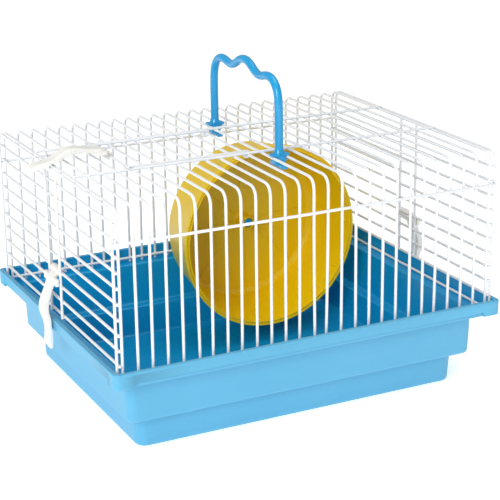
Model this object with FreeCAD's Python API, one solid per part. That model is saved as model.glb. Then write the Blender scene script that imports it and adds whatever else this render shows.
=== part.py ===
"""Hamster cage: a moulded tray, a wire top with a roof door, snap clips, a carrying handle and an exercise wheel.

Millimetres. +X runs along the cage's length, -Y is its front, +Z is up.
The origin is the middle of the tray's underside, where the cage stands.
Heights on the cage are measured from the tray's rim, so each one is written as RIM_Z plus or minus a distance.
"""

import FreeCAD
import Part
import math
import os

V = FreeCAD.Vector
X_AXIS = V(1, 0, 0)
Y_AXIS = V(0, 1, 0)
Z_AXIS = V(0, 0, 1)

# ---- wire ----
WIRE_D = 2.1                 # coated steel wire, all of it one gauge
WIRE_R = WIRE_D / 2
WELD_SINK = 0.15             # how far one wire is pressed into the next at a spot weld
STACK = WIRE_D - WELD_SINK   # centre distance of two crossing wires that are welded
RAIL_SINK = 0.35             # the roof rails are pressed in deeper, so that the door's end wire clears them
BEND_R = 9.0                 # centreline radius of a hoop's corner

# ---- wire top ----
HOOP_COUNT = 27
PITCH = 11.2                 # hoop to hoop along X
TOP_WIDTH = 233.0            # between the centrelines of a hoop's two legs
ROOF_RISE = 113.0            # rim to the roof wires' centreline
LEG_DROP = 9.6               # how far the legs reach below the rim
BAR_COUNT = 11               # level bars of an end panel
LOW_BAR_DROP = 8.0           # rim down to the lowest of them
BAR_OVERHANG = 1.7           # a bar's end stands this far past the leg's centreline
MID_RAIL_BAR = 2             # the side rails pass just under this level bar, counted from the roof
MID_RAIL_GAP = 0.1           # and clear it by this much
BASE_RAIL_DROP = 5.5         # rim down to the bottom rails
RAIL_SPREAD = 39.3           # roof rails, either side of the middle
RAIL_OVERHANG = 1.2          # a rail's end stands this far past the last hoop
UPRIGHT_SPREAD = PITCH       # the two uprights of an end panel, either side of the middle
UPRIGHT_FOOT = 1.5           # the uprights stop this far above the rim

# ---- tray ----
TRAY_H = 69.0                # underside to rim
RIM_Z = TRAY_H
LIP_T = 1.2                  # turned-down outer lip
LIP_GAP = 0.7                # hollow between lip and ridge
RIDGE_T = 1.2                # upright ridge that the wire top stands inside
RIM_MARGIN_X = 0.35          # free space between the end frame and the ridge
RIM_MARGIN_Y = 3.4           # free space between the legs and the ridge
LIP_DROP = 8.0
LIP_BEAD = (0.6, 1.7)        # a bead round the rim's edge: how far it stands out, height
CORNER_LIP_DROP = 11.0       # the lip is deeper and flush with the bead round each corner
CORNER_LIP_RUN = 14.0
LEDGE_DROP = 10.0            # rim to the ledge that the wire top rests on
RIM_CORNER_R = 2.0           # of the ridge; the lip's corner is larger by its distance from the ridge
WALL_T = 1.6
FLOOR_T = 1.8
UPPER_INSET = 13.6           # rim edge in to the upper wall
UPPER_DRAFT = 1.2
STEP_DROP = 45.0             # rim down to the step
STEP_WIDTH = 9.8             # the lower wall stands in from the upper one
LOWER_DRAFT = 1.6
WALL_CORNER_R = 7.0
LOWER_CORNER_R = 9.0
EDGE_ROUND = 3.6             # outer rounding of the step's and the floor's edges
RIB_T = 1.6                  # ribs under the lip, one each side of a clip
RIB_SPREAD = 15.5
RIB_DROP = 10.0

# ---- fits ----
PIVOT_GAP = 0.06             # radial clearance of an eye on its wire and of the hub on the axle
REST_GAP = 0.15              # a part that rests on another at the start of its travel
CATCH_GAP = 0.35             # hook to the edge it catches

# ---- snap clips: one lever, used at both ends and, with a longer hook, on the roof door ----
CLIP_BAR = 7                 # the level bar of the end panel that a side clip turns on, counted from the roof
CLIP_W = 10.0
CLIP_EYE_T = 1.9
CLIP_EYE_W = 16.0
CLIP_MOUTH_GRIP = 0.3         # the mouth of the eye is this much narrower than the wire
CLIP_CROSS_W = 26.0
CLIP_CROSS_S = (3.1, 8.6)    # the cross bar along the lever
CLIP_CROSS_U = (3.9, 6.3)    # and away from the cage
CLIP_DRAWN_S = 44.0          # eye to catch, as the clip's section is drawn
CLIP_BUMP = 0.9              # how far the side clips' catch stands in from the lever
ROOF_LATCH_TILT = 12.5       # the roof latch lies flatter than the side clips

# ---- roof door ----
DOOR_LAST = 11               # last hoop that is cut for the door
DOOR_HINGE_HOOP = 12
DOOR_RAIL_GAP = 1.9          # between a roof rail and the door's own rail
DOOR_END_REACH = 42.5        # half length of the door's end wire, which rests over the roof rails
STUB_PAST_RAIL = 0.8

# ---- handle ----
HANDLE_HOOP = 13             # its feet stand between this hoop and the next
HANDLE_D = 6.2
HANDLE_SPREAD = 54.0
HANDLE_LINE = (              # half of the grip's centreline: distance from the middle, height over the roof wires
    (54.0, 14.0), (54.0, 27.0), (53.6, 40.0), (51.2, 48.6), (45.9, 54.0), (38.5, 56.2),
    (31.0, 55.3), (23.5, 54.2), (15.5, 56.4), (8.0, 60.2), (0.0, 61.8))
FOOT_PLATE = (6.4, 1.7)      # saddle: width along Y, thickness
FOOT_PAST_WIRE = 0.2         # the saddle ends this far past the outer side of each hoop
FOOT_NECK_GAP = 0.75         # free space between the neck and the hoops beside it
FOOT_NECK_Y = 5.6
FOOT_BARB = (0.65, 5.0, 1.6) # reach under each hoop, width along Y, thickness
FOOT_COLLAR = (1.0, 4.6)     # flare and height where the grip meets the saddle
FOOT_BAR = (4.6, 20.0, 3.0)
FOOT_BAR_DROP = 5.6

# ---- wheel and axle ----
WHEEL_HOOP = 17              # the axle stands on this hoop's back leg
WHEEL_FLOOR_GAP = 13.4       # under the wheel
WHEEL_ROOF_GAP = 15.75       # over the wheel
WHEEL_DEPTH = 55.6
WHEEL_TAPER = 8.1            # the drum narrows this much from its lip to its back
WHEEL_SHELL = 1.6
WHEEL_LIP = 2.0
WHEEL_LIP_DEPTH = 3.0
WHEEL_SHOULDER = 5.0         # bevel where the drum turns into the back disc
WHEEL_BEVEL = 1.5            # depth of the bevel's middle from the two faces
WHEEL_WALL_GAP = 24.8        # wheel's back to the inner face of the back wires
SPOKE_COUNT = 8
SPOKE_W = 1.2
SPOKE_H = 0.6
HUB_D = 10.8
HUB_FLARE = 1.6
HUB_PROUD = 13.0
HUB_SINK_D = 8.6
HUB_SINK_DEPTH = 3.0
AXLE_D = 6.0
AXLE_HEAD_D = 7.8
AXLE_HEAD_T = 2.0
AXLE_HEAD_BEVEL = 0.9
AXLE_PLATE = (30.0, 2.6, 24.0)
AXLE_BOSS_D = (22.0, 12.0)
AXLE_END_FLOAT = 0.4
AXLE_GRIP_T = 1.6            # wall of the snap grips round the wires
AXLE_GRIP_GAP = 0.1
AXLE_GRIP_SHARE = 0.7        # grip height over plate height
AXLE_GRIP_MOUTH = 1.8

# ---- derived places ----
ROOF_Z = RIM_Z + ROOF_RISE
BAR_PITCH = (ROOF_RISE + LOW_BAR_DROP) / BAR_COUNT
LEG_Y = TOP_WIDTH / 2
FOOT_Z = RIM_Z - LEG_DROP
BAR_X = (HOOP_COUNT - 1) / 2 * PITCH + STACK
POST_X = BAR_X + STACK
RIDGE_IN_X = POST_X + WIRE_R + RIM_MARGIN_X
RIDGE_IN_Y = LEG_Y + WIRE_R + RIM_MARGIN_Y
RIM_T = LIP_T + LIP_GAP + RIDGE_T
RIM_X = RIDGE_IN_X + RIM_T
RIM_Y = RIDGE_IN_Y + RIM_T
LEDGE_Z = FOOT_Z - REST_GAP
EYE_R = WIRE_D + PIVOT_GAP   # centreline radius of a wire eye round a wire
DOOR_RAIL_Y = RAIL_SPREAD - WIRE_D - DOOR_RAIL_GAP
DOOR_RAIL_Z = ROOF_Z + EYE_R
DOOR_BAR_Z = DOOR_RAIL_Z - STACK
DOOR_END_Z = DOOR_RAIL_Z + STACK
CLIP_Z = ROOF_Z - CLIP_BAR * BAR_PITCH
CATCH_S = CLIP_Z - (RIM_Z - LIP_DROP)
CATCH_U = RIM_X + LIP_BEAD[0] - BAR_X
HOOK_R = math.hypot(CATCH_S, CATCH_U) + CATCH_GAP
DOOR_END_X = -POST_X + math.sqrt((HOOK_R - CATCH_GAP - WIRE_R) ** 2 - (DOOR_END_Z - ROOF_Z) ** 2)
DOOR_FIRST = math.ceil((DOOR_END_X + PITCH * 0.4) / PITCH + (HOOP_COUNT - 1) / 2)
WHEEL_BACK_Y = LEG_Y - WIRE_R - WHEEL_WALL_GAP
WHEEL_FRONT_Y = WHEEL_BACK_Y - WHEEL_DEPTH
WHEEL_R = (ROOF_Z - WIRE_R - WHEEL_ROOF_GAP - FLOOR_T - WHEEL_FLOOR_GAP) / 2
WHEEL_Z = FLOOR_T + WHEEL_FLOOR_GAP + WHEEL_R


def hoop_x(i):
    """Where hoop i stands along the cage."""
    return (i - (HOOP_COUNT - 1) / 2) * PITCH


def straight(start, end, radius=WIRE_R):
    """A straight length of wire."""
    run = end - start
    return Part.makeCylinder(radius, run.Length, start, run)


def arc(centre, start, end, normal, radius):
    """The quarter or part circle from start to end, turning about normal through centre."""
    middle = ((start - centre) + (end - centre)).normalize() * radius + centre
    return Part.Arc(start, middle, end).toShape()


def swept(edges, radius):
    """A round section carried along a smooth path."""
    path = Part.Wire(edges)
    first = path.Edges[0]
    tangent = first.tangentAt(first.FirstParameter)
    ring = Part.Wire(Part.makeCircle(radius, first.valueAt(first.FirstParameter), tangent))
    return path.makePipeShell([ring], True, False)


def boxed(x0, x1, y0, y1, z0, z1):
    """A box between two values on each axis."""
    return Part.makeBox(x1 - x0, y1 - y0, z1 - z0, V(x0, y0, z0))


def rounded_outline(hx, hy, r, z):
    """A rounded rectangle about the Z axis, as a wire."""
    edges = []
    corners = ((1, 1), (-1, 1), (-1, -1), (1, -1))
    diagonal = r * (1 - math.sqrt(0.5))
    for k, (sx, sy) in enumerate(corners):
        nx, ny = corners[(k + 1) % 4]
        if sx == sy:
            a = V(sx * hx, sy * (hy - r), z)
            b = V(sx * (hx - r), sy * hy, z)
            end = V(nx * (hx - r), ny * hy, z)
        else:
            a = V(sx * (hx - r), sy * hy, z)
            b = V(sx * hx, sy * (hy - r), z)
            end = V(nx * hx, ny * (hy - r), z)
        middle = V(sx * (hx - diagonal), sy * (hy - diagonal), z)
        edges.append(Part.Arc(a, middle, b).toShape())
        edges.append(Part.LineSegment(b, end).toShape())
    return Part.Wire(edges)


def slab(hx, hy, r, z0, z1):
    """A rounded rectangular block."""
    return Part.Face(rounded_outline(hx, hy, r, z0)).extrude(V(0, 0, z1 - z0))


def tub(hx, hy, r, z0, z1, draft, bottom_round):
    """A rounded block that narrows by draft towards its rounded bottom."""
    low = rounded_outline(hx - draft, hy - draft, r - draft / 2, z0)
    high = rounded_outline(hx, hy, r, z1)
    body = Part.makeLoft([low, high], True, True)
    edges = [e for e in body.Edges if e.BoundBox.ZMax < z0 + 1e-6]
    return body.makeFillet(bottom_round, edges)


def ring_slab(hx, hy, r, thickness, z0, z1):
    """An upright band of one thickness round a rounded rectangle."""
    inner = slab(hx - thickness, hy - thickness, max(r - thickness, 1.0), z0, z1)
    return slab(hx, hy, r, z0, z1).cut(inner)


def tray_shell():
    """The two-step tub with the ledge at its top."""
    upper_x = RIM_X - UPPER_INSET
    upper_y = RIM_Y - UPPER_INSET
    lower_x = upper_x - STEP_WIDTH
    lower_y = upper_y - STEP_WIDTH
    step_z = RIM_Z - STEP_DROP
    inner_round = EDGE_ROUND - WALL_T
    outer = slab(RIM_X - LIP_T - LIP_GAP, RIM_Y - LIP_T - LIP_GAP, RIM_CORNER_R, LEDGE_Z - WALL_T, RIM_Z)
    outer = outer.fuse(tub(upper_x, upper_y, WALL_CORNER_R, step_z, LEDGE_Z, UPPER_DRAFT, EDGE_ROUND))
    outer = outer.fuse(tub(lower_x, lower_y, LOWER_CORNER_R, 0, step_z + EDGE_ROUND, LOWER_DRAFT, EDGE_ROUND))
    inner = slab(RIDGE_IN_X, RIDGE_IN_Y, RIM_CORNER_R - RIDGE_T, LEDGE_Z, RIM_Z + 1)
    inner = inner.fuse(tub(upper_x - WALL_T, upper_y - WALL_T, WALL_CORNER_R - WALL_T, step_z + WALL_T,
                           LEDGE_Z + 1, UPPER_DRAFT, inner_round))
    inner = inner.fuse(tub(lower_x - WALL_T, lower_y - WALL_T, LOWER_CORNER_R - WALL_T, FLOOR_T,
                           step_z + EDGE_ROUND, LOWER_DRAFT, inner_round))
    return outer.cut(inner)


def tray_lip():
    """The turned-down lip outside the ridge, with its bead, and the deeper pads round the corners."""
    bead_out, bead_h = LIP_BEAD
    lip_r = RIM_CORNER_R + LIP_T + LIP_GAP
    edge_x = RIM_X + bead_out
    edge_y = RIM_Y + bead_out
    edge_r = lip_r + bead_out
    edge_t = LIP_T + bead_out
    lip = ring_slab(RIM_X, RIM_Y, lip_r, LIP_T, RIM_Z - LIP_DROP, RIM_Z)
    lip = lip.fuse(ring_slab(RIM_X, RIM_Y, lip_r, RIM_T, RIM_Z - LIP_T, RIM_Z))
    lip = lip.fuse(ring_slab(edge_x, edge_y, edge_r, edge_t, RIM_Z - bead_h, RIM_Z))
    pads = ring_slab(edge_x, edge_y, edge_r, edge_t, RIM_Z - CORNER_LIP_DROP, RIM_Z)
    for sx in (-1, 1):
        for sy in (-1, 1):
            xs = sorted((sx * (RIM_X - CORNER_LIP_RUN), sx * (edge_x + 1)))
            ys = sorted((sy * (RIM_Y - CORNER_LIP_RUN), sy * (edge_y + 1)))
            lip = lip.fuse(pads.common(boxed(*xs, *ys, 0, RIM_Z)))
    return lip


def tray_ribs():
    """Two ribs under the ledge at each end, one each side of the clip."""
    ribs = []
    inner = RIM_X - UPPER_INSET - 1
    outer = RIM_X - LIP_T - LIP_GAP - REST_GAP
    top = LEDGE_Z - WALL_T / 2
    for side in (-1, 1):
        for y in (-RIB_SPREAD, RIB_SPREAD):
            corners = [V(side * inner, y, top), V(side * outer, y, top), V(side * inner, y, top - RIB_DROP)]
            face = Part.Face(Part.makePolygon(corners + [corners[0]]))
            rib = face.extrude(V(0, RIB_T, 0))
            rib.translate(V(0, -RIB_T / 2, 0))
            ribs.append(rib)
    return ribs


def tray():
    """The moulded tray, one piece."""
    return tray_shell().fuse([tray_lip()] + tray_ribs()).removeSplitter()


def hoop(x):
    """One whole hoop: front leg, roof and back leg bent from one wire."""
    r = BEND_R
    points = [V(x, -LEG_Y, FOOT_Z), V(x, -LEG_Y, ROOF_Z - r), V(x, -LEG_Y + r, ROOF_Z),
              V(x, LEG_Y - r, ROOF_Z), V(x, LEG_Y, ROOF_Z - r), V(x, LEG_Y, FOOT_Z)]
    edges = [Part.LineSegment(points[0], points[1]).toShape(),
             arc(V(x, -LEG_Y + r, ROOF_Z - r), points[1], points[2], X_AXIS, r),
             Part.LineSegment(points[2], points[3]).toShape(),
             arc(V(x, LEG_Y - r, ROOF_Z - r), points[3], points[4], X_AXIS, r),
             Part.LineSegment(points[4], points[5]).toShape()]
    return swept(edges, WIRE_R)


def half_hoop(x, side):
    """A hoop cut for the door: a leg and the roof up to the rail, on one side."""
    r = BEND_R
    leg = side * LEG_Y
    turn = side * (LEG_Y - r)
    points = [V(x, leg, FOOT_Z), V(x, leg, ROOF_Z - r), V(x, turn, ROOF_Z),
              V(x, side * (RAIL_SPREAD - STUB_PAST_RAIL), ROOF_Z)]
    edges = [Part.LineSegment(points[0], points[1]).toShape(),
             arc(V(x, turn, ROOF_Z - r), points[1], points[2], X_AXIS, r),
             Part.LineSegment(points[2], points[3]).toShape()]
    return swept(edges, WIRE_R)


def cut_hoop(x):
    """The front and back halves of one hoop that the door opening parts."""
    return Part.makeCompound([half_hoop(x, -1), half_hoop(x, 1)])


def rail(y, z, reach):
    """A wire along the cage at one height."""
    return straight(V(-reach, y, z), V(reach, y, z))


def end_bars(side):
    """The level bars of one end panel, spot-welded between the last hoop and the end frame."""
    reach = LEG_Y + BAR_OVERHANG
    bars = []
    for k in range(1, BAR_COUNT + 1):
        z = ROOF_Z - k * BAR_PITCH
        bars.append(straight(V(side * BAR_X, -reach, z), V(side * BAR_X, reach, z)))
    return Part.makeCompound(bars)


def end_uprights(side):
    """The two uprights of one end panel that keep its clip in place."""
    top = ROOF_Z - STACK
    wires = []
    for y in (-UPRIGHT_SPREAD, UPRIGHT_SPREAD):
        wires.append(straight(V(side * POST_X, y, RIM_Z + UPRIGHT_FOOT), V(side * POST_X, y, top)))
    return Part.makeCompound(wires)


def door_rail(y):
    """A side rail of the door with the eye that turns on the hinge hoop."""
    x = hoop_x(DOOR_HINGE_HOOP)
    eye = Part.makeTorus(EYE_R, WIRE_R, V(x, y, ROOF_Z), Y_AXIS)
    bar = straight(V(DOOR_END_X - RAIL_OVERHANG, y, DOOR_RAIL_Z), V(x, y, DOOR_RAIL_Z))
    return bar.fuse(eye)


def door_bars():
    """The door's cross wires, in line with the hoops they replace."""
    reach = DOOR_RAIL_Y + WIRE_R - WELD_SINK
    bars = []
    for i in range(DOOR_FIRST, DOOR_LAST + 1):
        bars.append(straight(V(hoop_x(i), -reach, DOOR_BAR_Z), V(hoop_x(i), reach, DOOR_BAR_Z)))
    return Part.makeCompound(bars)


def door_end_wire():
    """The door's free edge, which rests over the roof rails and carries the latch."""
    return straight(V(DOOR_END_X, -DOOR_END_REACH, DOOR_END_Z), V(DOOR_END_X, DOOR_END_REACH, DOOR_END_Z))


def clip_section(tip_u):
    """The clip from the side. s runs along the lever from its eye, u stands away from the cage."""
    eye_out = WIRE_R + PIVOT_GAP + CLIP_EYE_T
    face_u = CATCH_U + CATCH_GAP + CLIP_BUMP
    tip_s = math.sqrt(HOOK_R ** 2 - tip_u ** 2)
    root_s = math.sqrt(HOOK_R ** 2 - face_u ** 2)
    stretch = CATCH_S / CLIP_DRAWN_S

    def at(s, u):
        return V(s * stretch, 0, u)

    outer = [V(0.6, 0, eye_out), at(4.5, 6.4), at(11, 8.8), at(18.5, 12.0), at(26, 14.2), at(32, 13.6),
             at(38.5, 11.6), at(45, 10.9), at(50, 11.2), at(54.5, 11.4), at(57.4, 10.4)]
    inner = [at(57.4, 8.2), at(54.0, 7.7), at(50.0, 7.7), V(tip_s + 1.8, 0, tip_u + 0.3)]
    back = [V(root_s - 1.2, 0, face_u), at(39, face_u + 0.1), at(35, 8.5), at(30.5, 9.6),
            at(24.5, 9.5), at(17, 7.5), at(10, 4.8), V(eye_out * 0.8, 0, 1.6)]
    edges = [spline(outer)]
    edges.append(Part.Arc(outer[-1], at(58.3, 9.3), inner[0]).toShape())
    edges.append(spline(inner))
    edges.append(Part.LineSegment(inner[-1], V(tip_s, 0, tip_u)).toShape())
    edges.append(Part.LineSegment(V(tip_s, 0, tip_u), V(root_s, 0, face_u)).toShape())
    edges.append(Part.LineSegment(V(root_s, 0, face_u), back[0]).toShape())
    edges.append(spline(back))
    edges.append(Part.LineSegment(back[-1], outer[0]).toShape())
    return Part.Face(Part.Wire(edges))


def spline(points):
    """A smooth edge through points."""
    curve = Part.BSplineCurve()
    curve.interpolate(points)
    return curve.toShape()


def clip(tip_u):
    """A snap clip about its eye: the lever runs along +X and stands away from the cage along +Z.

    The hook's tip reaches in to tip_u.
    """
    bore = WIRE_R + PIVOT_GAP
    eye_out = bore + CLIP_EYE_T
    lever = clip_section(tip_u).extrude(V(0, CLIP_W, 0))
    lever.translate(V(0, -CLIP_W / 2, 0))
    eye = Part.makeCylinder(eye_out, CLIP_EYE_W, V(0, -CLIP_EYE_W / 2, 0), Y_AXIS)
    cross = boxed(*CLIP_CROSS_S, -CLIP_CROSS_W / 2, CLIP_CROSS_W / 2, *CLIP_CROSS_U)
    body = lever.fuse([eye, cross])
    body = body.cut(Part.makeCylinder(bore, CLIP_CROSS_W, V(0, -CLIP_CROSS_W / 2, 0), Y_AXIS))
    half_mouth = WIRE_R - CLIP_MOUTH_GRIP / 2
    mouth = boxed(-half_mouth, half_mouth, -CLIP_CROSS_W, CLIP_CROSS_W, -eye_out - 1, 0)
    return body.cut(mouth).removeSplitter()


def placed(shape, x_to, z_to, origin):
    """The shape with its local X and Z turned to the given directions and its origin moved."""
    y_to = z_to.cross(x_to)
    turn = FreeCAD.Matrix(x_to.x, y_to.x, z_to.x, origin.x,
                          x_to.y, y_to.y, z_to.y, origin.y,
                          x_to.z, y_to.z, z_to.z, origin.z,
                          0, 0, 0, 1)
    moved = shape.copy()
    moved.Placement = FreeCAD.Placement(turn)
    return moved


def side_clip(side):
    """A clip hanging from an end panel, its catch just clear of the tray's lip."""
    return placed(clip(CATCH_U + CATCH_GAP), V(0, 0, -1), V(side, 0, 0), V(side * BAR_X, 0, CLIP_Z))


def roof_latch():
    """The clip on the door's end wire, its longer hook down past the end frame."""
    tilt = math.radians(ROOF_LATCH_TILT)
    along = V(-math.cos(tilt), 0, -math.sin(tilt))
    away = V(-math.sin(tilt), 0, math.cos(tilt))
    return placed(clip(CATCH_U - LIP_T - LIP_BEAD[0] - CATCH_GAP), along, away, V(DOOR_END_X, 0, DOOR_END_Z))


def handle_foot(x, y):
    """A saddle over two hoops, a neck between them with a barb under them, and a cross bar below."""
    gap_top = ROOF_Z + WIRE_R + REST_GAP
    plate_y, plate_t = FOOT_PLATE
    barb_reach, barb_y, barb_t = FOOT_BARB
    collar_flare, collar_h = FOOT_COLLAR
    gap_x = PITCH - WIRE_D
    neck_x = gap_x - 2 * FOOT_NECK_GAP
    barb_x = gap_x + 2 * barb_reach
    bar_x, bar_y, bar_t = FOOT_BAR
    bar_z = ROOF_Z - FOOT_BAR_DROP
    barb_z = ROOF_Z - WIRE_R - REST_GAP
    end_x = PITCH / 2 + WIRE_R + FOOT_PAST_WIRE
    top = gap_top + plate_t
    pieces = [boxed(x - end_x, x + end_x, y - plate_y / 2, y + plate_y / 2, gap_top, top)]
    pieces.append(Part.makeCone(HANDLE_D / 2 + collar_flare, HANDLE_D / 2 - collar_flare / 4, collar_h,
                                V(x, y, top - plate_t / 4)))
    pieces.append(boxed(x - neck_x / 2, x + neck_x / 2, y - FOOT_NECK_Y / 2, y + FOOT_NECK_Y / 2, bar_z,
                        gap_top + plate_t / 4))
    pieces.append(boxed(x - barb_x / 2, x + barb_x / 2, y - barb_y / 2, y + barb_y / 2, barb_z - barb_t, barb_z))
    pieces.append(boxed(x - bar_x / 2, x + bar_x / 2, y - bar_y / 2, y + bar_y / 2, bar_z - bar_t / 2,
                        bar_z + bar_t / 2))
    return pieces


def handle():
    """The carrying handle: a round grip with finger waves, and two snap feet."""
    x = hoop_x(HANDLE_HOOP) + PITCH / 2
    base = ROOF_Z + WIRE_R + REST_GAP + FOOT_PLATE[1] / 2
    half = [V(x, HANDLE_SPREAD, base)] + [V(x, y, ROOF_Z + z) for y, z in HANDLE_LINE]
    other = [V(x, -p.y, p.z) for p in reversed(half[:-1])]
    grip = swept([spline(half + other)], HANDLE_D / 2)
    feet = handle_foot(x, HANDLE_SPREAD) + handle_foot(x, -HANDLE_SPREAD)
    return grip.fuse(feet).removeSplitter()


def wheel_turned(points):
    """A ring turned about the axle from (radius, distance behind the wheel's front) points."""
    x = hoop_x(WHEEL_HOOP)
    outline = [V(x + r, WHEEL_FRONT_Y + d, WHEEL_Z) for r, d in points]
    face = Part.Face(Part.makePolygon(outline + [outline[0]]))
    return face.revolve(V(x, 0, WHEEL_Z), Y_AXIS, 360)


def wheel():
    """The drum: open at the front, closed by a disc at the back, with a hub tube on the disc."""
    x = hoop_x(WHEEL_HOOP)
    lip_r = WHEEL_R - WHEEL_LIP
    disc = WHEEL_DEPTH - WHEEL_SHELL
    shoulder = WHEEL_DEPTH - WHEEL_SHOULDER
    back = WHEEL_R - WHEEL_TAPER
    t = WHEEL_SHELL
    flat_r = back - WHEEL_SHOULDER
    bore = AXLE_D / 2 + PIVOT_GAP
    drum = wheel_turned([(WHEEL_R, 0), (WHEEL_R, WHEEL_LIP_DEPTH), (lip_r, WHEEL_LIP_DEPTH), (back, shoulder),
                         (back - WHEEL_BEVEL, WHEEL_DEPTH - WHEEL_BEVEL), (flat_r, WHEEL_DEPTH), (bore, WHEEL_DEPTH),
                         (bore, disc), (flat_r - t / 2, disc), (back - t - WHEEL_BEVEL, disc - WHEEL_BEVEL / 2),
                         (back - t, shoulder),
                         (lip_r - t, WHEEL_LIP_DEPTH), (lip_r - t, 0)])
    front = disc - HUB_PROUD
    sink = front + HUB_SINK_DEPTH
    root = disc + WHEEL_SHELL / 2
    flared = HUB_D / 2 + HUB_FLARE
    hub = wheel_turned([(HUB_D / 2, front), (HUB_D / 2, disc - HUB_FLARE), (flared, disc), (flared, root),
                        (bore, root), (bore, sink), (HUB_SINK_D / 2, sink), (HUB_SINK_D / 2, front)])
    spokes = []
    y1 = WHEEL_FRONT_Y + disc + SPOKE_H / 2
    for k in range(SPOKE_COUNT):
        spoke = boxed(HUB_D / 2 + 1, flat_r - 2, y1 - 1.5 * SPOKE_H, y1, -SPOKE_W / 2, SPOKE_W / 2)
        spoke.rotate(V(0, 0, 0), Y_AXIS, k * 360 / SPOKE_COUNT)
        spoke.translate(V(x, 0, WHEEL_Z))
        spokes.append(spoke)
    return drum.fuse([hub] + spokes).removeSplitter()


def axle():
    """The axle: a plate snapped on two back wires, a boss, the shaft and its snap head."""
    x = hoop_x(WHEEL_HOOP)
    plate_w, plate_t, plate_h = AXLE_PLATE
    wall_y = LEG_Y - WIRE_R - REST_GAP
    plate = boxed(x - plate_w / 2, x + plate_w / 2, wall_y - plate_t, wall_y, WHEEL_Z - plate_h / 2,
                  WHEEL_Z + plate_h / 2)
    boss_y = WHEEL_BACK_Y + AXLE_END_FLOAT
    boss = Part.makeCone(AXLE_BOSS_D[1] / 2, AXLE_BOSS_D[0] / 2, wall_y - plate_t / 2 - boss_y, V(x, boss_y, WHEEL_Z),
                         Y_AXIS)
    hub_front = WHEEL_FRONT_Y + WHEEL_DEPTH - WHEEL_SHELL - HUB_PROUD
    head_back = hub_front + HUB_SINK_DEPTH - AXLE_END_FLOAT
    head_front = head_back - AXLE_HEAD_T
    shaft = Part.makeCylinder(AXLE_D / 2, boss_y + 1 - head_front, V(x, head_front, WHEEL_Z), Y_AXIS)
    head = Part.makeCone(AXLE_HEAD_D / 2 - AXLE_HEAD_BEVEL, AXLE_HEAD_D / 2, AXLE_HEAD_T, V(x, head_front, WHEEL_Z), Y_AXIS)
    grips = []
    wires = []
    grip_h = plate_h * AXLE_GRIP_SHARE
    hole_r = WIRE_R + AXLE_GRIP_GAP
    for k in (-1, 0, 1):
        wires.append(Part.makeCylinder(hole_r, plate_h * 2, V(x + k * PITCH, LEG_Y, WHEEL_Z - plate_h), Z_AXIS))
    for side in (-1, 1):
        cx = x + side * PITCH
        ring = Part.makeCylinder(WIRE_R + AXLE_GRIP_T, grip_h, V(cx, LEG_Y, WHEEL_Z - grip_h / 2), Z_AXIS)
        mouth = boxed(cx - AXLE_GRIP_MOUTH / 2, cx + AXLE_GRIP_MOUTH / 2, LEG_Y, LEG_Y + 2 * STACK,
                      WHEEL_Z - plate_h, WHEEL_Z + plate_h)
        grips.append(ring.cut(mouth))
    body = plate.fuse([boss, shaft, head] + grips)
    return body.cut(wires).removeSplitter()


def all_nodes():
    """Every separate piece, by name."""
    rail_reach = hoop_x(HOOP_COUNT - 1) + RAIL_OVERHANG
    mid_z = ROOF_Z - MID_RAIL_BAR * BAR_PITCH - WIRE_D - MID_RAIL_GAP
    base_z = RIM_Z - BASE_RAIL_DROP
    roof_rail_z = ROOF_Z + WIRE_D - RAIL_SINK
    nodes = {"tray": tray()}
    for i in range(HOOP_COUNT):
        if DOOR_FIRST <= i <= DOOR_LAST:
            nodes[f"hoop_{i:02d}"] = cut_hoop(hoop_x(i))
        else:
            nodes[f"hoop_{i:02d}"] = hoop(hoop_x(i))
    nodes["roof_rail_front"] = rail(-RAIL_SPREAD, roof_rail_z, rail_reach)
    nodes["roof_rail_back"] = rail(RAIL_SPREAD, roof_rail_z, rail_reach)
    nodes["side_rail_front"] = rail(-LEG_Y - STACK, mid_z, POST_X + WIRE_R)
    nodes["side_rail_back"] = rail(LEG_Y + STACK, mid_z, POST_X + WIRE_R)
    nodes["base_rail_front"] = rail(-LEG_Y + STACK, base_z, rail_reach)
    nodes["base_rail_back"] = rail(LEG_Y - STACK, base_z, rail_reach)
    for name, side in (("left", -1), ("right", 1)):
        nodes[f"end_frame_{name}"] = hoop(side * POST_X)
        nodes[f"end_bars_{name}"] = end_bars(side)
        nodes[f"end_uprights_{name}"] = end_uprights(side)
        nodes[f"side_clip_{name}"] = side_clip(side)
    nodes["door_rail_front"] = door_rail(-DOOR_RAIL_Y)
    nodes["door_rail_back"] = door_rail(DOOR_RAIL_Y)
    nodes["door_bars"] = door_bars()
    nodes["door_end_wire"] = door_end_wire()
    nodes["roof_latch"] = roof_latch()
    nodes["handle"] = handle()
    nodes["axle"] = axle()
    nodes["wheel"] = wheel()
    return nodes


os.makedirs("parts", exist_ok=True)
for node_name, node_shape in all_nodes().items():
    node_shape.exportStep(f"parts/{node_name}.step")
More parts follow.
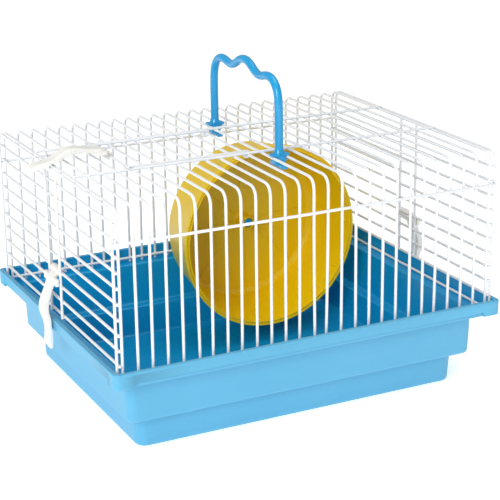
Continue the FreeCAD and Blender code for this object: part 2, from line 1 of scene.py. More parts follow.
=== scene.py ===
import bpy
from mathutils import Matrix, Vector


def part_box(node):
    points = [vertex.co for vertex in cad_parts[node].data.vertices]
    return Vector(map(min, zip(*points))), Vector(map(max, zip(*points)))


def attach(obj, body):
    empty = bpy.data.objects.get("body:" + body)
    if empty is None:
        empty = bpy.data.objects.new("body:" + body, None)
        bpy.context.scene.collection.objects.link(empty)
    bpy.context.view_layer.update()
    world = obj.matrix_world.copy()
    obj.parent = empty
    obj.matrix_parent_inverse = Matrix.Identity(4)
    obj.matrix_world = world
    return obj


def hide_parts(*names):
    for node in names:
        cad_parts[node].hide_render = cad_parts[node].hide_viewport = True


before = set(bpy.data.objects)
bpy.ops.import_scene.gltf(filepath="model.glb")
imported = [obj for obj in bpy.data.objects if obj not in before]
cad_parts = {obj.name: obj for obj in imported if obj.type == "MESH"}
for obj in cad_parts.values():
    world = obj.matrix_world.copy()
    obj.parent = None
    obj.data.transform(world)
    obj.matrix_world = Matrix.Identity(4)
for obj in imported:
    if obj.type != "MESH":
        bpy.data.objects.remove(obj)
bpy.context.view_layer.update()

import math
import random

import bmesh
import bpy
from mathutils import Matrix, Vector

# ---- Tray ----------------------------------------------------------------------------------
# One injection moulding in pale blue polypropylene, about 1.6 mm thick: a tub in two steps, a ledge that
# the wire top stands on, an upright ridge round it and a turned-down lip that is deeper at the corners.
# The inside is glossier than the satin outside; both are one plastic, and the inside is painted a deeper blue
# as shade and light bounced between its walls.

MM = 0.001


class Tone:
    """A socket of a material's node tree that takes part in arithmetic."""

    def __init__(self, tree, socket=None):
        self.tree = tree
        self.socket = socket

    def node(self, kind, settings=None, inputs=None, output=0):
        """Adds a node: its settings first, then its inputs, each of them a value or another tone."""
        made = self.tree.nodes.new(kind)
        for name, value in (settings or {}).items():
            setattr(made, name, value)
        for name, value in (inputs or {}).items():
            if isinstance(value, Tone):
                self.tree.links.new(value.socket, made.inputs[name])
            else:
                made.inputs[name].default_value = value
        return Tone(self.tree, made.outputs[output])

    def sums(self, operation, *terms):
        return self.node("ShaderNodeMath", {"operation": operation}, dict(enumerate(terms)))

    def __add__(self, other):
        return self.sums("ADD", self, other)

    def __sub__(self, other):
        return self.sums("SUBTRACT", self, other)

    def __rsub__(self, other):
        return self.sums("SUBTRACT", other, self)

    def __mul__(self, other):
        return self.sums("MULTIPLY", self, other)

    __radd__ = __add__
    __rmul__ = __mul__

    def where(self):
        """Places in the cage's own frame, in metres."""
        return self.node("ShaderNodeTexCoord", output="Object")

    def stretched(self, x, y, z):
        """The same places, scaled by each axis."""
        return self.node("ShaderNodeVectorMath", {"operation": "MULTIPLY"}, {0: self, 1: (x, y, z)})

    def cloud(self, scale, detail=2.0, roughness=0.5, warp=0.0):
        """Soft noise over places; scale counts features per metre."""
        return self.node("ShaderNodeTexNoise", None, {
            "Vector": self, "Scale": scale, "Detail": detail, "Roughness": roughness, "Distortion": warp})

    def cut(self, low, high):
        """0 below low, 1 above high and smooth between."""
        return self.node("ShaderNodeMapRange", {"interpolation_type": "SMOOTHSTEP"}, {
            "Value": self, "From Min": low, "From Max": high})

    def dye(self, low, high):
        """A colour between low and high, with this tone as the share of high."""
        return self.node("ShaderNodeMix", {"data_type": "RGBA"}, {0: self, 6: low, 7: high}, 2)

    def relief(self, distance, strength=1.0):
        """A bump of this height in metres."""
        return self.node("ShaderNodeBump", None, {"Height": self, "Distance": distance, "Strength": strength})


def new_finish(name, **constants):
    """A material with its even settings, its shader, and places to build tones on."""
    material = bpy.data.materials.new(name)
    material.use_nodes = True
    shader = material.node_tree.nodes["Principled BSDF"]
    for setting, value in constants.items():
        shader.inputs[setting.replace("_", " ")].default_value = value
    return material, shader, Tone(material.node_tree).where()


def feed(shader, colour, roughness, normal):
    """Joins the tones that change over the surface to the shader."""
    for name, tone in (("Base Color", colour), ("Roughness", roughness), ("Normal", normal)):
        tone.tree.links.new(tone.socket, shader.inputs[name])


def srgb(red, green, blue):
    """A dye from its everyday 0 to 255 values."""
    levels = [level / 255 for level in (red, green, blue)]
    return tuple(((v + 0.055) / 1.055) ** 2.4 if v > 0.04 else v / 12.92 for v in levels) + (1.0,)


def piece(name, shells, finish, slot, body, *nodes):
    """One mesh from shells of (points, faces) in millimetres, riding on a body in place of CAD nodes."""
    work = bmesh.new()
    for points, faces in shells:
        made = [work.verts.new([MM * c for c in point]) for point in points]
        for face in faces:
            work.faces.new([made[i] for i in face])
    bmesh.ops.recalc_face_normals(work, faces=work.faces)
    mesh = bpy.data.meshes.new(name)
    work.to_mesh(mesh)
    work.free()
    mesh.polygons.foreach_set("use_smooth", [True] * len(mesh.polygons))
    mesh.materials.append(finish)
    made = bpy.data.objects.new(name, mesh)
    bpy.context.scene.collection.objects.link(made)
    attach(made, body)
    if nodes:
        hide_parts(*nodes)
    return made


def loft(rings, round_trip=False):
    """A skin over rings of points, closed by a face at each end, or joined from last to first."""
    count = len(rings[0])
    points = [point for ring in rings for point in ring]
    faces = []
    for i in range(len(rings) - (0 if round_trip else 1)):
        a = i * count
        b = (i + 1) % len(rings) * count
        for j in range(count):
            k = (j + 1) % count
            faces.append((a + j, a + k, b + k, b + j))
    if not round_trip:
        faces.append(tuple(reversed(range(count))))
        faces.append(tuple(range(len(points) - count, len(points))))
    return points, faces


def rounded(corners, steps=5):
    """A line through (point, radius) corners, each of them rounded; a point may have extra numbers."""
    line = []
    for i, (corner, radius) in enumerate(corners):
        here = Vector(corner)
        if i in (0, len(corners) - 1) or radius == 0:
            line.append(here)
            continue
        back = Vector(corners[i - 1][0]) - here
        ahead = Vector(corners[i + 1][0]) - here
        turn = math.pi - back.angle(ahead)
        if turn < 1e-3:
            line.append(here)
            continue
        reach = min(radius * math.tan(turn / 2), back.length * 0.48, ahead.length * 0.48)
        start = here + back.normalized() * reach
        end = here + ahead.normalized() * reach
        for s in range(steps + 1):
            t = s / steps
            line.append(start * (1 - t) ** 2 + here * 2 * t * (1 - t) + end * t ** 2)
    return line


tray_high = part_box("tray")[1]
RIM_X, RIM_Y, RIM_Z = (c / MM for c in tray_high)
LEDGE_Z = RIM_Z - 9.75
STEP_Z = RIM_Z - 45.0
PAD_RUN = 14.6               # length of the deeper lip from each corner
RIB_SPREAD = 15.5            # the ribs stand this far to each side of a clip
PAD_STEP = 0.3               # over this length the lip goes from shallow to deep
CORNER_RADII = ((0.0, 4.5), (3.7, 0.9), (14.2, 7.0), (17.0, 4.9), (24.1, 9.0), (27.2, 6.6), (200.0, 6.6))
TRAY_PROFILE = (             # (inset from the rim, height, deeper at corners, further in between), rounding
    ((60.0, 1.8, 0, 0), 0), ((27.2, 1.8, 0, 0), 2.4), ((25.65, STEP_Z + 1.6, 0, 0), 1.6),
    ((17.0, STEP_Z + 1.6, 0, 0), 2.4), ((15.8, LEDGE_Z, 0, 0), 1.4), ((3.7, LEDGE_Z, 0, 0), 0.7),
    ((3.7, RIM_Z, 0, 0), 0.55), ((0, RIM_Z, 0, 0), 0.6), ((0, RIM_Z - 1.6, 0, 0), 0.3),
    ((0.02, RIM_Z - 1.9, 0, 0.6), 0.2), ((0.02, RIM_Z - 8, 3, 0.6), 0.4), ((1.8, RIM_Z - 8, 3, 0), 0.4),
    ((1.8, RIM_Z - 1.2, 0, 0), 0.2), ((2.5, RIM_Z - 1.2, 0, 0), 0.2), ((2.5, LEDGE_Z - 1.6, 0, 0), 1.0),
    ((14.2, LEDGE_Z - 1.6, 0, 0), 1.6), ((15.4, STEP_Z, 0, 0), 3.6), ((24.05, STEP_Z, 0, 0), 1.2),
    ((25.6, 0, 0, 0), 3.6), ((60.0, 0, 0, 0), 0))


def corner_radius(inset):
    """The plan's corner radius at an inset from the rim's edge."""
    for (d0, r0), (d1, r1) in zip(CORNER_RADII, CORNER_RADII[1:]):
        if inset <= d1:
            return r0 + (r1 - r0) * (inset - d0) / (d1 - d0)
    return r1


def tray_ring(inset, z, deeper, recess):
    """One level ring of the tray; its corner stretches go deeper, the stretches between stand further in."""
    r = corner_radius(inset)
    half = (RIM_X - inset - r, RIM_Y - inset - r)
    rim_half = (RIM_X - CORNER_RADII[0][1], RIM_Y - CORNER_RADII[0][1])
    ring = []
    for side in range(4):
        along = side % 2 == 0
        run = half[1] if along else half[0]
        full = rim_half[1] if along else rim_half[0]
        edge = (RIM_Y if along else RIM_X) - PAD_RUN
        marks = [-1.0, -(edge + PAD_STEP) / full, -edge / full, -0.6, -0.2, 0.2, 0.6, edge / full,
                 (edge + PAD_STEP) / full, 1.0]
        turn = side * math.pi / 2
        out = Vector((math.cos(turn), math.sin(turn)))
        sideways = Vector((-out.y, out.x))
        reach = (half[0] if along else half[1]) + r
        for n, mark in enumerate(marks):
            at_pad = n in (0, 1, 8, 9)
            spot = out * (reach - (0 if at_pad else recess)) + sideways * run * mark
            ring.append((spot.x, spot.y, z - (deeper if at_pad else 0)))
        centre = out * (reach - r) + sideways * run
        for s in range(1, 10):
            a = turn + s / 10 * math.pi / 2
            ring.append((centre.x + r * math.cos(a), centre.y + r * math.sin(a), z - deeper))
    return ring


def gusset(side, y):
    """A thin triangular rib under the ledge beside a clip."""
    half = 0.8
    profile = [(side * (RIM_X - 15.4), LEDGE_Z - 1.0), (side * (RIM_X - 2.8), LEDGE_Z - 1.0),
               (side * (RIM_X - 3.2), LEDGE_Z - 2.2), (side * (RIM_X - 15.4), LEDGE_Z - 11.0)]
    rings = []
    for dy, shrink in ((-half, 0.25), (-half + 0.25, 0), (half - 0.25, 0), (half, 0.25)):
        rings.append([(x - side * shrink * (n in (1, 2)), y + dy, z + shrink * (n in (2, 3)))
                      for n, (x, z) in enumerate(profile)])
    return loft(rings)


tray_plastic, tray_shader, at = new_finish(
    "tray_polypropylene", IOR=1.5, Subsurface_Weight=0.1, Subsurface_Scale=0.004,
    Subsurface_Radius=(0.3, 0.8, 1.0), Coat_Roughness=0.2)
drift = at.cloud(9.0, 3.0)
swirl = at.stretched(1.0, 1.0, 3.5).cloud(26.0, 4.0, 0.6, 1.2)
grain = at.cloud(1500.0, 3.0, 0.65)
orange_peel = at.cloud(420.0, 1.0)
hairs = (at.stretched(260.0, 260.0, 14.0).cloud(1.0, 2.0, 0.5, 0.6)).cut(0.66, 0.75)
rubs = at.cloud(38.0, 4.0, 0.7).cut(0.55, 0.72) * hairs
inside = at.node("ShaderNodeAttribute", {"attribute_name": "inside"}, output=2)
pale = drift.dye(srgb(82, 166, 204), srgb(98, 177, 212))
# painted shade: the inside surfaces get a deeper blue that stands for shade and light bounced inside the tub
inside_shade_blue = drift.dye(srgb(2, 150, 208), srgb(14, 160, 216))
blue = inside.dye(pale, inside_shade_blue)
blue = (swirl * 0.15).dye(blue, srgb(44, 150, 200))
blue = (rubs * 0.35).dye(blue, srgb(172, 214, 240))
feed(tray_shader, blue, 0.36 - inside * 0.16 + drift * 0.08 + grain * 0.06 + rubs * 0.18,
     (grain * 0.35 + orange_peel * 0.55 + rubs * 0.4 + swirl * 0.5).relief(0.00012, 0.5))

tray_line = rounded(TRAY_PROFILE)
tray_rings = [tray_ring(*spot) for spot in tray_line]
tray_ribs = [gusset(side, y) for side in (-1, 1) for y in (-RIB_SPREAD, RIB_SPREAD)]
tray = piece("tray_moulding", [loft(tray_rings)] + tray_ribs, tray_plastic, "tray_plastic", "tray", "tray")
rim_ring = max(range(len(tray_line)), key=lambda k: tray_line[k][1])
inner_count = rim_ring * len(tray_rings[0])
inside_share = tray.data.attributes.new("inside", "FLOAT", "POINT")
inside_share.data.foreach_set("value", [float(k < inner_count) for k in range(len(tray.data.vertices))])

# ---- Hoops -----------------------------------------------------------------------------------
# Twenty-seven U-shaped hoops of 2.1 mm steel wire, dipped in white coat after the welding. A few legs
# have been knocked sideways near their feet. Eight of them are parted in the roof for the door.

hoop_low, hoop_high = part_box("hoop_13")
WIRE_R = (hoop_high.x - hoop_low.x) / 2 / MM
LEG_Y = hoop_high.y / MM - WIRE_R
ROOF_Z = hoop_high.z / MM - WIRE_R
FOOT_Z = hoop_low.z / MM
BEND_R = 9.0
BEND_STEPS = 7
HOOP_COUNT = 27
PARTED_HOOPS = range(4, 12)
STUB_Y = 38.5                # a parted hoop's wire ends this far from the middle
SIDE_RAIL_Z = sum(corner.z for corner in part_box("side_rail_front")) / 2 / MM
FRONT_LEANS = {5: 1.2, 8: -0.4, 13: 1.0, 14: -1.3, 16: 0.5, 17: 0.3, 22: -0.6}
knocks = random.Random(27)

wire_coat, wire_shader, at = new_finish(
    "white_wire_coat", IOR=1.5, Coat_Weight=0.25, Coat_Roughness=0.12)
dull = at.cloud(70.0, 3.0)
peel = at.cloud(1300.0, 2.0)
runs = at.stretched(1.0, 1.0, 0.25).cloud(330.0, 2.0, 0.5, 0.4)
grime = at.cloud(160.0, 4.0, 0.7).cut(0.6, 0.8)
white = dull.dye(srgb(236, 237, 238), srgb(224, 227, 231))
white = (grime * 0.25).dye(white, srgb(206, 203, 196))
feed(wire_shader, white, 0.28 + dull * 0.14 + grime * 0.2, (peel * 0.4 + runs * 0.6).relief(0.00009, 0.6))


def tube(path, radius, sides=14):
    """A round wire along a path of points, its cut ends domed by the coat."""
    path = [Vector(point) for point in path]
    first = (path[1] - path[0]).normalized()
    across = first.orthogonal().normalized()
    rings = []
    last = len(path) - 1
    for i, point in enumerate(path):
        ahead = (path[min(i + 1, last)] - path[max(i - 1, 0)]).normalized()
        across = (across - ahead * across.dot(ahead)).normalized()
        up = ahead.cross(across)
        stations = [(0, 1)]
        if i == 0:
            stations = [(-0.0, 0.35), (0.12, 0.75), (0.4, 0.97), (0.6, 1)]
        if i == last:
            stations = [(-0.6, 1), (-0.4, 0.97), (-0.12, 0.75), (0.0, 0.35)]
        for along, share in stations:
            centre = point + ahead * along * radius
            rings.append([centre + (across * math.cos(a) + up * math.sin(a)) * radius * share
                          for a in (2 * math.pi * s / sides for s in range(sides))])
    return loft(rings)


def bent_leg(x, side, lean):
    """Corners of a leg from its foot to the roof; the lean grows below the side rail."""
    corners = []
    for share in (1.0, 0.9, 0.7, 0.45, 0.2):
        z = SIDE_RAIL_Z + (FOOT_Z - SIDE_RAIL_Z) * share
        corners.append(((x + lean * share ** 1.6, side * LEG_Y, z), 25.0 if share < 1 else 0))
    corners.append(((x, side * LEG_Y, SIDE_RAIL_Z), 0))
    corners.append(((x, side * LEG_Y, ROOF_Z), BEND_R))
    return corners


def hoop_paths(i, x):
    """One path for a whole hoop, two for a parted one."""
    front = bent_leg(x, -1, FRONT_LEANS.get(i, knocks.uniform(-0.3, 0.3)))
    rear = bent_leg(x, 1, knocks.uniform(-0.5, 0.5))
    if i in PARTED_HOOPS:
        halves = ((front, -STUB_Y), (rear, STUB_Y))
        return [rounded(leg + [((x, y, ROOF_Z), 0)], BEND_STEPS) for leg, y in halves]
    return [rounded(front + rear[::-1], BEND_STEPS)]


hoop_places = []
for i in range(HOOP_COUNT):
    node = f"hoop_{i:02d}"
    low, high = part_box(node)
    x = (low.x + high.x) / 2 / MM
    hoop_places.append(x)
    shells = [tube(path, WIRE_R) for path in hoop_paths(i, x)]
    piece(f"wire_{node}", shells, wire_coat, "wire_coat", "wire_top", node)

# ---- End panels --------------------------------------------------------------------------------
# Each end is a hoop-shaped frame with eleven level bars welded between it and the last hoop, and two
# short uprights either side of the snap clip. The coat pools in the corners of every weld.


def weld(x, y, z, ax, ay, az):
    """The pool of coat where two wires touch: a flattened bead of these half sizes."""
    rings = []
    for level in (-0.92, -0.5, 0.0, 0.5, 0.92):
        wide = math.sqrt(1 - level ** 2)
        rings.append([(x + ax * wide * math.cos(a), y + ay * wide * math.sin(a), z + az * level)
                      for a in (2 * math.pi * s / 10 for s in range(10))])
    return loft(rings)


WELD = 1.2                   # half size of a bead along the wires
WELD_T = 0.55                # and across the touching faces
for name, side in (("left", -1), ("right", 1)):
    low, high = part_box(f"end_frame_{name}")
    frame_x = (low.x + high.x) / 2 / MM
    arch = bent_leg(frame_x, -1, 0) + bent_leg(frame_x, 1, 0)[::-1]
    shells = [tube(rounded(arch, BEND_STEPS), WIRE_R)]
    piece(f"wire_end_frame_{name}", shells, wire_coat, "wire_coat", "wire_top", f"end_frame_{name}")
    low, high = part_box(f"end_bars_{name}")
    bars_x = (low.x + high.x) / 2 / MM
    top_bar = high.z / MM - WIRE_R
    bar_pitch = (top_bar - (low.z / MM + WIRE_R)) / 10
    reach = high.y / MM
    shells = []
    for k in range(11):
        z = top_bar - k * bar_pitch
        shells.append(tube([(bars_x, -reach, z), (bars_x, 0, z), (bars_x, reach, z)], WIRE_R))
        for y in (-LEG_Y, LEG_Y):
            for off in (-1, 1):
                shells.append(weld(bars_x + off * WIRE_R * 0.93, y, z, WELD_T, WELD, WELD))
    piece(f"wire_end_bars_{name}", shells, wire_coat, "wire_coat", "wire_top", f"end_bars_{name}")
    low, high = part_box(f"end_uprights_{name}")
    shells = []
    for y in (low.y / MM + WIRE_R, high.y / MM - WIRE_R):
        shells.append(tube([(frame_x, y, low.z / MM), (frame_x, y, 120), (frame_x, y, high.z / MM)], WIRE_R))
        for k in range(11):
            z = top_bar - k * bar_pitch
            if z > low.z / MM:
                shells.append(weld((frame_x + bars_x) / 2, y, z, WELD_T, WELD, WELD))
    piece(f"wire_end_uprights_{name}", shells, wire_coat, "wire_coat", "wire_top", f"end_uprights_{name}")

# ---- Rails -------------------------------------------------------------------------------------
# Straight wires spot-welded along the hoops: two on the roof, one along each long side under the bend,
# and one inside each long side just over the tray's ledge.


def rail_piece(node):
    """A rail with a bead of coat at each hoop."""
    low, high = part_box(node)
    y = (low.y + high.y) / 2 / MM
    z = (low.z + high.z) / 2 / MM
    shells = [tube([(low.x / MM, y, z), (0, y, z), (high.x / MM, y, z)], WIRE_R)]
    for x in hoop_places:
        if z > ROOF_Z:
            shells.append(weld(x, y, (z + ROOF_Z) / 2, WELD, WELD, WELD_T))
        else:
            leg = math.copysign(LEG_Y, y)
            shells.append(weld(x, (y + leg) / 2, z, WELD, WELD_T, WELD))
    piece(f"wire_{node}", shells, wire_coat, "wire_coat", "wire_top", node)


for node in ("roof_rail_front", "roof_rail_back", "side_rail_front", "side_rail_back", "base_rail_front",
             "base_rail_back"):
    rail_piece(node)

# ---- Roof door ---------------------------------------------------------------------------------
# A small grille of the same wire. Its two rails are curled round the next hoop as hinges, and its free
# end is one longer wire that comes to rest across the roof rails.

HINGE_HOOP = 12
hinge_x = hoop_places[HINGE_HOOP]
door_low, door_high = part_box("door_rail_back")
DOOR_RAIL_Y = (door_low.y + door_high.y) / 2 / MM
DOOR_RAIL_Z = door_high.z / MM - WIRE_R
CURL_R = DOOR_RAIL_Z - ROOF_Z
for name, side in (("front", -1), ("back", 1)):
    node = f"door_rail_{name}"
    y = side * DOOR_RAIL_Y
    path = [(door_low.x / MM, y, DOOR_RAIL_Z), ((door_low.x / MM + hinge_x) / 2, y, DOOR_RAIL_Z)]
    for s in range(23):
        a = math.radians(90 - s * 14)
        path.append((hinge_x + CURL_R * math.cos(a), y, ROOF_Z + CURL_R * math.sin(a)))
    piece(f"wire_{node}", [tube(path, WIRE_R)], wire_coat, "wire_coat", "door", node)

low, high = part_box("door_bars")
door_bar_z = (low.z + high.z) / 2 / MM
shells = []
for i in PARTED_HOOPS:
    x = hoop_places[i]
    shells.append(tube([(x, y, door_bar_z) for y in (low.y / MM, 0, high.y / MM)], WIRE_R))
    for y in (-DOOR_RAIL_Y, DOOR_RAIL_Y):
        shells.append(weld(x, y, (door_bar_z + DOOR_RAIL_Z) / 2, WELD, WELD, WELD_T))
piece("wire_door_bars", shells, wire_coat, "wire_coat", "door", "door_bars")

low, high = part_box("door_end_wire")
end_x = (low.x + high.x) / 2 / MM
end_z = (low.z + high.z) / 2 / MM
shells = [tube([(end_x, low.y / MM, end_z), (end_x, 0, end_z), (end_x, high.y / MM, end_z)], WIRE_R)]
for y in (-DOOR_RAIL_Y, DOOR_RAIL_Y):
    shells.append(weld(end_x, y, (end_z + DOOR_RAIL_Z) / 2, WELD, WELD, WELD_T))
piece("wire_door_end", shells, wire_coat, "wire_coat", "door", "door_end_wire")

# ---- Snap clips --------------------------------------------------------------------------------
# Three moulded levers in milky, undyed polypropylene, two at the ends and one on the roof door. Each
# turns on a wire in an open eye, and its edges are softened by the mould.

clip_plastic, clip_shader, at = new_finish(
    "milky_polypropylene", IOR=1.49, Subsurface_Weight=0.35, Subsurface_Scale=0.003,
    Subsurface_Radius=(1.0, 0.9, 0.8))
milk = at.cloud(55.0, 3.0)
skin = at.cloud(1100.0, 2.0, 0.6)
smear = at.cloud(140.0, 4.0, 0.7).cut(0.55, 0.8)
milky = milk.dye(srgb(243, 241, 236), srgb(230, 229, 224))
milky = (smear * 0.3).dye(milky, srgb(205, 203, 196))
feed(clip_shader, milky, 0.34 + milk * 0.12 + smear * 0.12, (skin * 0.6 + milk * 0.4).relief(0.0001, 0.5))


def soft_moulding(name, node, finish, body, voxel):
    """A moulding with softened edges: the node's own solid, remeshed evenly and smoothed."""
    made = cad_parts[node].copy()
    made.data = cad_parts[node].data.copy()
    made.name = name
    made.parent = None
    for key in [k for k in made.keys()]:
        del made[key]
    bpy.context.scene.collection.objects.link(made)
    work = bmesh.new()
    work.from_mesh(made.data)
    bmesh.ops.remove_doubles(work, verts=work.verts, dist=1e-6)
    work.to_mesh(made.data)
    work.free()
    even = made.modifiers.new("even", "REMESH")
    even.mode = "VOXEL"
    even.voxel_size = voxel * MM
    even.use_smooth_shade = True
    soften = made.modifiers.new("soften", "SMOOTH")
    soften.factor = 0.5
    soften.iterations = 4
    view = bpy.context.evaluated_depsgraph_get()
    mesh = bpy.data.meshes.new_from_object(made.evaluated_get(view))
    made.modifiers.clear()
    made.data = mesh
    mesh.materials.clear()
    mesh.materials.append(finish)
    mesh.polygons.foreach_set("use_smooth", [True] * len(mesh.polygons))
    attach(made, body)
    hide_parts(node)
    return made


CLIP_VOXEL = 0.35
CLIP_BODIES = {"side_clip_left": "clip_left", "side_clip_right": "clip_right", "roof_latch": "latch"}
for node, body in CLIP_BODIES.items():
    soft_moulding(f"moulded_{node}", node, clip_plastic, body, CLIP_VOXEL)

# ---- Carrying handle ---------------------------------------------------------------------------
# A glossy bright blue moulding: a round grip with waves for the fingers, and two feet that snap between
# the roof's hoops.

handle_plastic, handle_shader, at = new_finish("handle_blue", IOR=1.5, Coat_Weight=0.2, Coat_Roughness=0.1)
shade = at.cloud(40.0, 3.0)
fine = at.cloud(900.0, 2.0)
scuffs = at.stretched(30.0, 200.0, 200.0).cloud(1.0, 3.0, 0.6, 0.5).cut(0.62, 0.8)
bright = shade.dye(srgb(4, 144, 200), srgb(16, 156, 212))
bright = (scuffs * 0.25).dye(bright, srgb(90, 184, 228))
feed(handle_shader, bright, 0.22 + shade * 0.1 + scuffs * 0.2,
     (fine * 0.5 + scuffs * 0.5).relief(0.0001, 0.5))
GRIP_VOXEL = 0.4
soft_moulding("moulded_handle", "handle", handle_plastic, "wire_top", GRIP_VOXEL)

# ---- Axle and wheel ----------------------------------------------------------------------------
# The axle is a blue plate snapped over three back wires, with a boss, a 6 mm shaft and a snap head. The
# wheel is one yellow moulding: a drum open to the front, with a thin lip, a ribbed disc and a hub tube.

soft_moulding("moulded_axle", "axle", handle_plastic, "wire_top", GRIP_VOXEL)

wheel_plastic, wheel_shader, at = new_finish(
    "wheel_yellow", IOR=1.5, Subsurface_Weight=0.08, Subsurface_Scale=0.003,
    Subsurface_Radius=(1.0, 0.7, 0.2))
patch = at.cloud(16.0, 3.0)
speck = at.cloud(1200.0, 2.0, 0.6)
wear = at.cloud(60.0, 5.0, 0.7).cut(0.56, 0.75)
yellow = patch.dye(srgb(252, 212, 4), srgb(244, 202, 0))
yellow = (wear * 0.25).dye(yellow, srgb(246, 214, 60))
feed(wheel_shader, yellow, 0.32 + patch * 0.08 + wear * 0.14,
     (speck * 0.5 + patch * 0.5).relief(0.00012, 0.5))

low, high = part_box("wheel")
WHEEL_X = (low.x + high.x) / 2 / MM
WHEEL_Z = (low.z + high.z) / 2 / MM
WHEEL_FRONT = low.y / MM
WHEEL_DEEP = (high.y - low.y) / MM
DRUM_R = (high.x - low.x) / 2 / MM
BACK_R = DRUM_R - 8.1
BORE_R = 3.06
HUB_R = 5.4
SINK_R = 4.3                 # of the recess in the hub that takes the snap head
FLAT_R = BACK_R - 5
DISC = WHEEL_DEEP - 1.6
HUB_FRONT = DISC - 13
WHEEL_PROFILE = (            # (radius, depth behind the front), rounding; from the bore's back to the hub
    ((BORE_R, WHEEL_DEEP), 0.2), ((FLAT_R, WHEEL_DEEP), 2.0), ((BACK_R - 1.2, WHEEL_DEEP - 1.6), 2.0),
    ((BACK_R, WHEEL_DEEP - 5), 2.0), ((DRUM_R - 2, 3.0), 0.6), ((DRUM_R, 3.0), 0.4), ((DRUM_R, 0), 0.5),
    ((DRUM_R - 1.4, 0), 0.3), ((DRUM_R - 1.6, 1.1), 0.3), ((DRUM_R - 2.6, 1.2), 0.3),
    ((DRUM_R - 2.8, 0.1), 0.3), ((DRUM_R - 3.6, 0.1), 0.3), ((DRUM_R - 3.7, 3.0), 0.6),
    ((BACK_R - 1.6, WHEEL_DEEP - 5), 1.6),
    ((BACK_R - 2.8, DISC - 1.4), 1.6), ((FLAT_R - 0.8, DISC), 1.6), ((HUB_R + 1.6, DISC), 0.8),
    ((HUB_R, DISC - 1.6), 0.8), ((HUB_R, HUB_FRONT), 0.5), ((SINK_R, HUB_FRONT), 0.3),
    ((SINK_R, HUB_FRONT + 3), 0.3), ((BORE_R, HUB_FRONT + 3), 0.2))


def about_axle(radius, depth, angle):
    """A point of the wheel by its radius, depth behind the front and angle."""
    return (WHEEL_X + radius * math.cos(angle), WHEEL_FRONT + depth, WHEEL_Z + radius * math.sin(angle))


def ridge(angle, inner, outer, depth, half, height):
    """A low rounded rib on the disc, from radius inner to outer."""
    rings = []
    for radius, share in ((inner, 0.3), (inner + 0.8, 1), (outer - 0.8, 1), (outer, 0.3)):
        ring = []
        for across, up in ((-1, -0.6), (-0.8, 0.6), (0, 1), (0.8, 0.6), (1, -0.6)):
            x, y, z = about_axle(radius, depth - height * up * share, angle)
            ring.append((x - math.sin(angle) * half * across, y, z + math.cos(angle) * half * across))
        rings.append(ring)
    return loft(rings)


def tread(angle):
    """A short raised dash inside the drum, just behind its lip."""
    rings = []
    for depth in (5.0, 5.5, 8.0, 8.5):
        drum = DRUM_R - 3.7 - (depth - 3.0) * 6.1 / (WHEEL_DEEP - 8)
        high = 0.45 if 5.2 < depth < 8.2 else 0.1
        rings.append([about_axle(drum - lift * high + 0.3 * (1 - lift), depth, angle + turn)
                      for turn, lift in ((-0.012, 0), (-0.008, 1), (0.008, 1), (0.012, 0))])
    return loft(rings)


wheel_line = rounded(WHEEL_PROFILE, 4)
ROUND = 144
turns = [2 * math.pi * s / ROUND for s in range(ROUND)]
wheel_rings = [[about_axle(spot[0], spot[1], turn) for spot in wheel_line] for turn in turns]
wheel_shells = [loft(wheel_rings, True)]
wheel_shells += [ridge(math.radians(45 * k + 3), HUB_R + 2.4, FLAT_R - 3, DISC, 0.55, 0.45) for k in range(8)]
wheel_shells += [tread(2 * math.pi * k / 60) for k in range(60)]
piece("wheel_moulding", wheel_shells, wheel_plastic, "wheel_plastic", "wheel", "wheel")

# ---- Studio ------------------------------------------------------------------------------------
# A wide flat floor of near-white paper that is lit from below as well, one soft key panel from the front
# left, a panel overhead and an even pale surround.

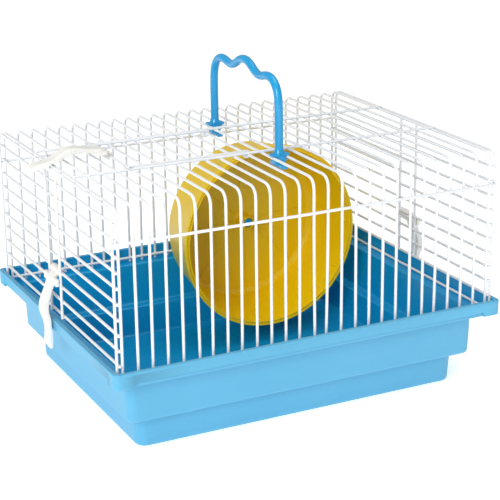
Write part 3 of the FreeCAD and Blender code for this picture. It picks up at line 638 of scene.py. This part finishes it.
paper, paper_shader, at = new_finish(
    "white_paper", Specular_IOR_Level=0.1, Emission_Color=(1, 1, 1, 1), Emission_Strength=0.55)
fibre = at.cloud(8.0, 2.0)
feed(paper_shader, fibre.dye((0.9, 0.9, 0.9, 1), (0.92, 0.92, 0.92, 1)), 0.8 + fibre * 0.1,
     at.cloud(300.0).relief(0.00005, 0.2))
floor_mesh = bpy.data.meshes.new("floor")
FLOOR_HALF = 12.0
floor_work = bmesh.new()
bmesh.ops.create_grid(floor_work, x_segments=4, y_segments=4, size=FLOOR_HALF)
floor_work.to_mesh(floor_mesh)
floor_work.free()
floor_mesh.materials.append(paper)
floor = bpy.data.objects.new("floor", floor_mesh)
floor.location = (0, 0, -0.0002)
bpy.context.scene.collection.objects.link(floor)


def panel_light(name, place, aim, size, watts, tint):
    """A square soft light that faces a point."""
    lamp = bpy.data.lights.new(name, "AREA")
    lamp.shape = "SQUARE"
    lamp.size = size
    lamp.energy = watts
    lamp.color = tint
    holder = bpy.data.objects.new(name, lamp)
    holder.location = place
    holder.rotation_euler = (Vector(aim) - Vector(place)).to_track_quat("-Z", "Y").to_euler()
    bpy.context.scene.collection.objects.link(holder)


panel_light("key_panel", (-1.5, -1.25, 0.95), (0, 0, 0.08), 0.9, 27, (1, 0.99, 0.97))
panel_light("top_panel", (0.2, -0.1, 1.9), (0, 0, 0.08), 1.2, 12, (0.98, 0.99, 1))
surround = bpy.data.worlds.new("pale_surround")
surround.use_nodes = True
surround.node_tree.nodes["Background"].inputs["Color"].default_value = (1, 1, 1, 1)
surround.node_tree.nodes["Background"].inputs["Strength"].default_value = 0.42
bpy.context.scene.world = surround
bpy.context.scene.view_settings.view_transform = "Standard"

CAMERA_AZIMUTH = math.radians(-26.33)
CAMERA_ELEVATION = math.radians(18.44)
CAMERA_ROLL = -0.01203
back = Vector((math.sin(CAMERA_AZIMUTH) * math.cos(CAMERA_ELEVATION),
               -math.cos(CAMERA_AZIMUTH) * math.cos(CAMERA_ELEVATION), math.sin(CAMERA_ELEVATION)))
right = Vector((math.cos(CAMERA_AZIMUTH), math.sin(CAMERA_AZIMUTH), 0))
up = back.cross(right)
rolled_right = right * math.cos(CAMERA_ROLL) + up * math.sin(CAMERA_ROLL)
rolled_up = up * math.cos(CAMERA_ROLL) - right * math.sin(CAMERA_ROLL)
lens = bpy.data.cameras.new("camera")
lens.lens = 111.8
lens.sensor_width = 36.0
camera = bpy.data.objects.new("camera", lens)
camera.matrix_world = Matrix.Translation((-0.4938, -1.0141, 0.4724)) @ Matrix(
    (rolled_right, rolled_up, back)).transposed().to_4x4()
bpy.context.scene.collection.objects.link(camera)
bpy.context.scene.camera = camera
